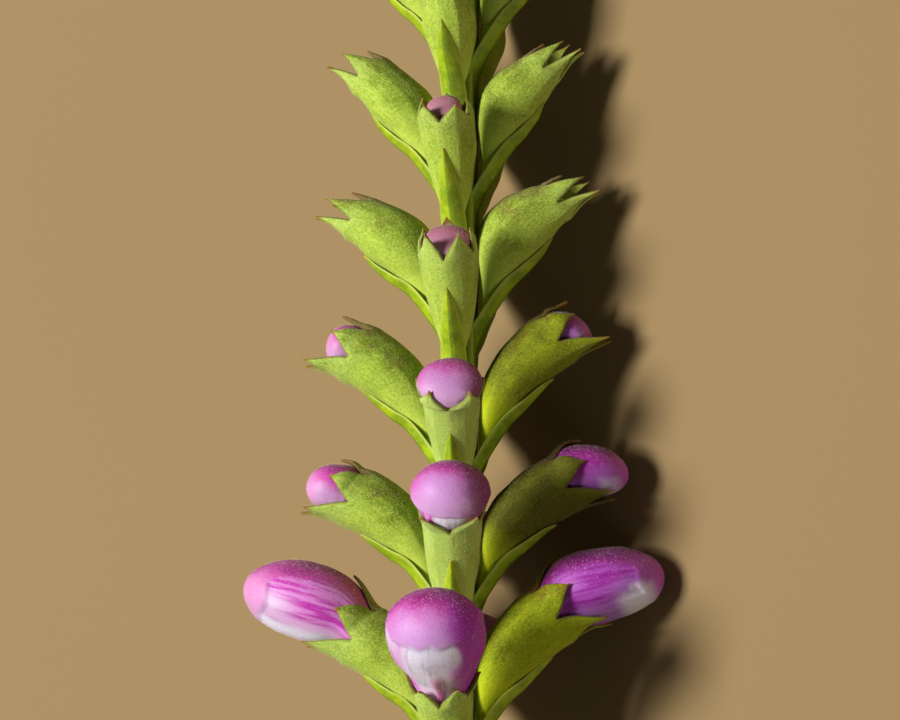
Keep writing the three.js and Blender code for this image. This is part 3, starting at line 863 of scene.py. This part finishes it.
class Look:
    """A material's node graph, built up from named values, noise and mixes."""

    def __init__(self, name):
        self.material = bpy.data.materials.new(name)
        self.material.use_nodes = True
        self.tree = self.material.node_tree
        self.shader = self.tree.nodes["Principled BSDF"]

    def node(self, kind, **settings):
        node = self.tree.nodes.new(kind)
        for name, value in settings.items():
            setattr(node, name, value)
        return node

    def put(self, socket, value):
        if isinstance(value, bpy.types.NodeSocket):
            self.tree.links.new(value, socket)
        else:
            socket.default_value = value

    def value(self, name):
        return self.node("ShaderNodeAttribute", attribute_name=name).outputs["Fac"]

    def noise(self, scale, detail, vector=None):
        node = self.node("ShaderNodeTexNoise")
        self.put(node.inputs["Vector"], vector or self.node("ShaderNodeTexCoord").outputs["Object"])
        self.put(node.inputs["Scale"], scale)
        self.put(node.inputs["Detail"], detail)
        return node.outputs["Fac"]

    def cells(self, scale, vector):
        """How far away the nearest edge between uneven cells is."""
        node = self.node("ShaderNodeTexVoronoi", feature="DISTANCE_TO_EDGE")
        self.put(node.inputs["Vector"], vector)
        self.put(node.inputs["Scale"], scale)
        return node.outputs["Distance"]

    def math(self, operation, first, second):
        node = self.node("ShaderNodeMath", operation=operation)
        self.put(node.inputs[0], first)
        self.put(node.inputs[1], second)
        return node.outputs[0]

    def add(self, first, second):
        return self.math("ADD", first, second)

    def subtract(self, first, second):
        return self.math("SUBTRACT", first, second)

    def ramp(self, place):
        """A tuple of a value and two ends goes smoothly from 0 at the first end to 1 at the second."""
        if not isinstance(place, tuple):
            return place
        node = self.node("ShaderNodeMapRange", interpolation_type="SMOOTHSTEP")
        for name, value in zip(("Value", "From Min", "From Max"), place):
            self.put(node.inputs[name], value)
        return node.outputs["Result"]

    def times(self, *places):
        first, *others = (self.ramp(place) for place in places)
        for other in others:
            first = self.math("MULTIPLY", first, other)
        return first

    def mix(self, place, first, second, blend="MIX"):
        """From the first colour, where place is 0, to the second, where it is 1."""
        node = self.node("ShaderNodeMix", data_type="RGBA", blend_type=blend)
        self.put(node.inputs["Factor"], self.ramp(place))
        first_colour, second_colour = (socket for socket in node.inputs if socket.type == "RGBA")
        self.put(first_colour, first)
        self.put(second_colour, second)
        return next(socket for socket in node.outputs if socket.type == "RGBA")

    def tint(self, colour, paint, strength, *places, blend="MIX"):
        """Lays paint over a colour where all the places are 1."""
        return self.mix(self.times(*places, strength), colour, paint, blend)

    def shade(self, colour, paint, strength, *places):
        return self.tint(colour, paint, strength, *places, blend="MULTIPLY")

    def flower_place(self, along):
        """A vector that follows a flower's surface, round it and along it."""
        node = self.node("ShaderNodeCombineXYZ")
        for socket, value in zip(node.inputs, (self.value("upper"), self.value("sideways"), along)):
            self.put(socket, value)
        return node.outputs[0]

    def streaks(self, scale, detail, along):
        """Noise drawn out along a flower."""
        return self.noise(scale, detail, self.flower_place(self.times(along, 0.3)))

    def bump(self, height, strength, distance):
        node = self.node("ShaderNodeBump")
        self.put(node.inputs["Height"], height)
        self.put(node.inputs["Strength"], strength)
        self.put(node.inputs["Distance"], distance)
        self.put(self.shader.inputs["Normal"], node.outputs["Normal"])

    def finish(self, colour, roughness, **settings):
        self.put(self.shader.inputs["Base Color"], colour)
        self.put(self.shader.inputs["Roughness"], roughness)
        for name, value in settings.items():
            self.put(self.shader.inputs[name.replace("_", " ")], value)
        return self.material


GREEN_GLOW = {
    "Subsurface_Weight": 0.25,
    "Subsurface_Radius": (0.6, 1.0, 0.25),
    "Subsurface_Scale": 0.0005,
}
PETAL_GLOW = {
    "Subsurface_Weight": 0.2,
    "Subsurface_Radius": (1.0, 0.35, 0.9),
    "Subsurface_Scale": 0.0004,
}

CALYX_LOWER_SIDE = srgb(170, 198, 62)
CALYX_UPPER_SIDE = srgb(128, 152, 26)
CALYX_BASE = srgb(194, 216, 78)
CALYX_MOUTH = srgb(172, 198, 104)
CALYX_KEEL = srgb(196, 184, 26)
CALYX_STREAK = srgb(206, 214, 84)
CALYX_VEIN = srgb(208, 216, 96)
CALYX_TAN = srgb(128, 100, 58)
TOOTH_BROWN = srgb(146, 104, 74)
CALYX_FROST = srgb(206, 222, 122)
CALYX_DARK = srgb(96, 118, 22)
# Painted light and painted shade for single calyces
CALYX_PAINTED_LIGHT_GREY = srgb(184, 208, 118)
CALYX_PAINTED_SHADE_OLIVE = srgb(255, 246, 70)
CALYX_SHADE = srgb(146, 134, 100)
TOOTH_EDGE = srgb(96, 72, 36)
TOOTH_TIP = srgb(140, 92, 36)


def calyx_look():
    look = Look("calyx_skin")
    part, upper, painted_light_and_shade = (look.value(name) for name in ("part", "upper", "painted_light_and_shade"))
    broad = look.noise(1000, 3)
    mottle = look.noise(4200, 3)
    grain = look.noise(10500, 2)
    side = look.add(upper, look.times(look.subtract(broad, 0.5), 4.0))
    colour = look.mix((side, -0.9, 0.8), CALYX_LOWER_SIDE, CALYX_UPPER_SIDE)
    colour = look.tint(colour, CALYX_BASE, 0.8, (part, 0.6, 0.1))
    colour = look.tint(colour, CALYX_MOUTH, 0.5, (part, 0.75, 1.15), (side, 0.9, -0.4))
    colour = look.tint(colour, CALYX_KEEL, 0.8, (upper, 0.86, 0.98), (part, 0.75, 0.35))

    streaks = (look.streaks(11, 3, part), 0.52, 0.64)
    colour = look.tint(colour, CALYX_STREAK, 0.3, streaks)
    veins = (look.cells(4.5, look.flower_place(part)), 0.05, 0.0)
    colour = look.tint(colour, CALYX_VEIN, 0.4, veins, (part, 0.1, 0.5))
    colour = look.tint(colour, CALYX_TAN, 0.45, (side, 0.5, 1.1), (part, 0.3, 0.75))
    browning = look.times((part, 0.7, 1.15), (look.add(upper, broad), 0.7, 1.3))
    colour = look.tint(colour, TOOTH_BROWN, 0.85, look.value("brown"), browning)
    colour = look.tint(colour, CALYX_FROST, 0.4, (grain, 0.46, 0.7))
    pits = look.times((grain, 0.54, 0.3), 0.36)
    pits = look.add(pits, look.times((mottle, 0.5, 0.36), 0.12))
    colour = look.mix(look.times(pits, (part, 0.0, 0.5)), colour, CALYX_DARK)

    # Painted light makes the front calyces paler and greyer; painted shade makes the right rank's lower
    # calyces olive, and darker except near their base
    colour = look.tint(colour, CALYX_PAINTED_LIGHT_GREY, 0.7, (painted_light_and_shade, 0.0, 1.0))
    colour = look.shade(colour, CALYX_PAINTED_SHADE_OLIVE, 1.0, (painted_light_and_shade, 0.0, -0.45))
    colour = look.shade(colour, CALYX_SHADE, 1.0, (painted_light_and_shade, -0.3, -1.0), (part, 0.1, 0.45))
    edge = (look.value("tooth_across"), 0.8, 1.0)
    colour = look.tint(colour, TOOTH_EDGE, 0.6, edge, (part, 1.0, 1.05))
    colour = look.tint(colour, TOOTH_TIP, 0.8, (part, 1.72, 1.95))
    look.bump(grain, 0.7, 0.00004)
    return look.finish(colour, 0.75, Sheen_Weight=0.06, Specular_IOR_Level=0.2, **GREEN_GLOW)


HOOD_LOW = srgb(208, 158, 210)
HOOD_MIDDLE = srgb(208, 74, 176)
PETAL_DARK = srgb(148, 14, 124)
TIP_PINK = srgb(224, 152, 204)
TIP_LILAC = srgb(200, 148, 214)
SIDE_PALE = srgb(226, 142, 220)
SIDE_STREAK = srgb(200, 56, 184)
SIDE_BLEACH = srgb(226, 210, 232)
LIP_ROOT = srgb(222, 158, 214)
LIP_WHITE = srgb(228, 222, 240)
LIP_STREAK = srgb(176, 120, 194)
LIP_OUTER = srgb(204, 92, 186)
LIP_FOLD = srgb(196, 66, 140)
LIP_LOBE = srgb(200, 92, 172)
# Deeper purple and painted shade for the right side of the front buds
PURPLE_SHADE_YOUNG = srgb(118, 0, 96)
PURPLE_SHADE_RIPE = srgb(170, 0, 178)
SEAM_PURPLE = srgb(140, 70, 160)
# Painted shade for the right rank's buds
RIGHT_RANK_SHADE = srgb(190, 122, 214)
RIGHT_RANK_SHADE_TIP = srgb(196, 84, 204)
RIGHT_RANK_WHITE_AND_PAINTED_LIGHT = srgb(236, 234, 250)
YOUNG_PETAL = srgb(180, 122, 114)
PETAL_FROST = srgb(232, 180, 222)
PETAL_PIT = srgb(112, 16, 96)


def corolla_look():
    look = Look("corolla_petal")
    share, high, upper = (look.value(name) for name in ("share", "high", "upper"))
    dusk, ripe = look.value("dusk"), look.value("ripe")
    streaks = look.streaks(9, 4, share)
    uneven = look.subtract(look.noise(620, 3), 0.5)
    grain = look.noise(9000, 2)
    height = look.add(high, look.times(uneven, 0.9))

    hood = look.mix((height, -0.5, 0.3), HOOD_LOW, HOOD_MIDDLE)
    tip = look.mix(look.value("lilac"), TIP_PINK, TIP_LILAC)
    hood = look.tint(hood, tip, 0.75, (share, 0.62, 0.92), (height, 0.7, 0.1))
    hood = look.mix((height, 0.3, 0.95), hood, PETAL_DARK)

    side = look.mix((streaks, 0.42, 0.6), SIDE_PALE, SIDE_STREAK)
    side = look.tint(side, SIDE_BLEACH, 0.8, (share, 0.42, 0.74), (upper, 0.1, -0.4))
    side = look.mix((height, 0.2, 0.9), side, PETAL_DARK)

    lip = look.mix((share, 0.0, 0.3), LIP_ROOT, LIP_WHITE)
    lip = look.tint(lip, LIP_STREAK, 0.4, (streaks, 0.52, 0.66))
    lip = look.tint(lip, LIP_OUTER, 0.55, (upper, -0.9, -0.7), ripe)
    lip = look.tint(lip, LIP_FOLD, 0.8, look.value("fold"))
    lip = look.tint(lip, LIP_LOBE, 0.9, look.value("lobe"))

    colour = look.mix(look.value("hood"), side, hood)
    colour = look.mix(look.value("lip"), colour, lip)
    # Deeper purple and painted shade on the right side of the front buds, away from the light
    blush = look.add(look.value("blush"), look.times(uneven, 0.5))
    deepest = look.mix((ripe, 0.6, 1.0), PURPLE_SHADE_YOUNG, PURPLE_SHADE_RIPE)
    colour = look.tint(colour, deepest, 0.92, (blush, 0.1, 0.7))
    seam_strength = look.subtract(0.35, look.times(dusk, 0.25))
    colour = look.tint(colour, SEAM_PURPLE, seam_strength, look.value("seam"))

    # Painted shade: the right rank's buds darker and more purple, their tips most
    colour = look.shade(colour, RIGHT_RANK_SHADE, 0.9, dusk)
    colour = look.tint(colour, RIGHT_RANK_SHADE_TIP, 0.7, (share, 0.75, 0.95), dusk)
    # White petal on the underside of the right rank's ripe buds, brightened as painted light where no lamp
    # reaches
    patch = look.times((share, 0.5, 0.66), (share, 0.94, 0.78), dusk, ripe)
    colour = look.tint(colour, RIGHT_RANK_WHITE_AND_PAINTED_LIGHT, 1.0, patch, (look.add(upper, uneven), -0.3, -0.75))
    colour = look.tint(colour, YOUNG_PETAL, 0.75, (ripe, 0.4, 0.0))
    colour = look.tint(colour, PETAL_FROST, 1.0, (grain, 0.56, 0.7), (height, -0.6, 2.0))
    colour = look.tint(colour, PETAL_PIT, 0.12, (grain, 0.44, 0.32))
    look.bump(grain, 0.5, 0.00003)
    return look.finish(colour, 0.5, Sheen_Weight=0.08, Specular_IOR_Level=0.35, **PETAL_GLOW)


BRACT_COLOURS = (srgb(166, 190, 20), srgb(130, 158, 16))
BRACT_MIDRIB = srgb(84, 112, 24)
BRACT_RIM = srgb(200, 212, 90)
BRACT_SPECK = srgb(208, 216, 130)
BRACT_TIP = srgb(176, 140, 36)


def bract_look():
    look = Look("bract_blade")
    part, across = look.value("part"), look.value("tooth_across")
    broad = look.noise(1200, 3)
    grain = look.noise(8500, 2)
    colour = look.mix((broad, 0.35, 0.65), *BRACT_COLOURS)
    colour = look.tint(colour, BRACT_MIDRIB, 0.55, (across, 0.2, 0.04))
    colour = look.tint(colour, BRACT_RIM, 0.5, (across, 0.75, 1.0))
    colour = look.tint(colour, BRACT_SPECK, 0.3, (grain, 0.58, 0.7))
    colour = look.tint(colour, BRACT_TIP, 0.6, (part, 0.8, 1.0))
    look.bump(grain, 0.4, 0.00003)
    return look.finish(colour, 0.5, Specular_IOR_Level=0.35, **GREEN_GLOW)


STEM_COLOURS = (srgb(144, 166, 16), srgb(124, 146, 12))
STEM_CORNER = srgb(184, 204, 72)
STEM_SPECK = srgb(200, 212, 130)
PITH_COLOURS = (srgb(206, 214, 150), srgb(182, 196, 120))


def stem_look():
    look = Look("stem_skin")
    broad = look.noise(400, 3)
    grain = look.noise(8500, 2)
    colour = look.mix((broad, 0.35, 0.65), *STEM_COLOURS)
    colour = look.tint(colour, STEM_CORNER, 0.6, (look.value("corner"), 0.7, 1.0))
    colour = look.tint(colour, STEM_SPECK, 0.3, (grain, 0.58, 0.7))
    pith = look.mix((look.noise(2600, 2), 0.4, 0.6), *PITH_COLOURS)
    colour = look.mix((look.value("cut"), 0.12, 0.3), colour, pith)
    look.bump(grain, 0.4, 0.00003)
    return look.finish(colour, 0.5, Specular_IOR_Level=0.35, **GREEN_GLOW)


def hair_look(name, colour):
    look = Look(name)
    tint = look.mix(look.noise(3000, 1), colour, srgb(236, 236, 214))
    return look.finish(tint, 0.4, Subsurface_Weight=0.2, Subsurface_Scale=0.0001)


def floor_look():
    look = Look("floor_paper")
    colour = look.mix(look.noise(6, 2), srgb(146, 122, 82), srgb(141, 117, 77))
    return look.finish(colour, 0.9)


# The plant


def build_flower(flower, rng, calyx, corolla, green_hair, pink_hair):
    label = flower.label
    shell = Surface()
    add_calyx(shell, flower, rng, columns=12, tube_rows=20, tooth_rows=14)
    if not flower.corolla:
        add_young_bud(shell, flower, columns=24)
    cup = add_piece(f"calyx_{label}_skin", shell, calyx, [f"calyx_{label}"])
    add_hairs(f"calyx_{label}_hair", cup, CALYX_HAIRS, rng, green_hair, bare="inside")
    if flower.corolla:
        petals = Surface()
        add_corolla(petals, flower, rng)
        bud = add_piece(f"corolla_{label}_petals", petals, corolla, [f"corolla_{label}"])
        add_hairs(f"corolla_{label}_down", bud, COROLLA_HAIRS, rng, pink_hair)


def build_plant():
    calyx, corolla, bract, stem = calyx_look(), corolla_look(), bract_look(), stem_look()
    green_hair = hair_look("green_hair", srgb(206, 216, 150))
    pink_hair = hair_look("pink_hair", srgb(240, 200, 232))

    stalk = Surface()
    add_stem(stalk, np.random.default_rng(1))
    stalk_piece = add_piece("square_stem", stalk, stem, ["stem"])

    bracts = Surface()
    young = Surface()
    for node in range(1, FLOWER_NODES + TIP_NODES + 1):
        for index, rank in enumerate(ranks_at(node)):
            flower = Flower(node, rank)
            rng = np.random.default_rng(100 * node + index)
            if node <= FLOWER_NODES:
                add_bract(bracts, flower, rng, steps=7, columns=9)
                build_flower(flower, rng, calyx, corolla, green_hair, pink_hair)
            else:
                add_bract(young, flower, rng, steps=4, columns=7)
                add_calyx(young, flower, rng, columns=6, tube_rows=10, tooth_rows=6)
                add_young_bud(young, flower, columns=12)
    add_piece("bracts", bracts, bract, ["stem"])
    add_piece("young_tip", young, calyx, ["stem"])
    add_hairs("stem_hair", stalk_piece, STEM_HAIRS, np.random.default_rng(5), green_hair)


# Floor, light and camera


def add_floor():
    bpy.ops.mesh.primitive_plane_add(size=FLOOR_SIZE)
    floor = bpy.context.object
    floor.name = "floor"
    floor.data.materials.append(floor_look())


def add_softbox(name, direction, distance, size, power, colour):
    """A square light that faces the middle of the flowers, with sizes in metres."""
    light = bpy.data.lights.new(name, "AREA")
    light.energy = power
    light.size = size
    light.color = colour
    lamp = bpy.data.objects.new(name, light)
    bpy.context.scene.collection.objects.link(lamp)
    away = Vector(direction).normalized()
    lamp.location = LIT_POINT + away * distance
    lamp.rotation_euler = away.to_track_quat("Z", "Y").to_euler()


def add_camera():
    rise, roll = math.radians(CAMERA_RISE), math.radians(CAMERA_ROLL)
    look = Vector((0, math.cos(rise), math.sin(rise)))
    side = Vector((1, 0, 0))
    over = side.cross(look)
    right = side * math.cos(roll) + over * math.sin(roll)
    top = over * math.cos(roll) - side * math.sin(roll)
    eye = CAMERA_AIM - look * CAMERA_DISTANCE
    turn = Matrix((right, top, -look)).transposed()
    data = bpy.data.cameras.new("camera")
    data.sensor_width = SENSOR_WIDTH
    data.lens = PIXELS_PER_MM * CAMERA_DISTANCE / IMAGE_WIDTH * SENSOR_WIDTH
    data.clip_start = CAMERA_NEAR
    camera = bpy.data.objects.new("camera", data)
    bpy.context.scene.collection.objects.link(camera)
    location = Matrix.Translation((LAID_TURN @ eye + LAID_SHIFT) * METRES)
    camera.matrix_world = location @ (LAID_TURN @ turn).to_4x4()
    bpy.context.scene.camera = camera


def light_scene():
    world = bpy.data.worlds.new("studio")
    world.use_nodes = True
    background = world.node_tree.nodes["Background"]
    background.inputs["Color"].default_value = (1.0, 0.9, 0.82, 1)
    background.inputs["Strength"].default_value = 0.06
    bpy.context.scene.world = world
    add_softbox(
        "key", direction=(-0.21, 0.06, 0.96), distance=0.45, size=0.13, power=2.95, colour=(1.0, 0.98, 0.94)
    )
    add_softbox(
        "fill", direction=(0.8, -0.55, 0.2), distance=0.45, size=0.14, power=0.2, colour=(0.98, 0.98, 1.0)
    )
    bpy.context.scene.view_settings.view_transform = "Standard"


build_plant()
add_floor()
light_scene()
add_camera()
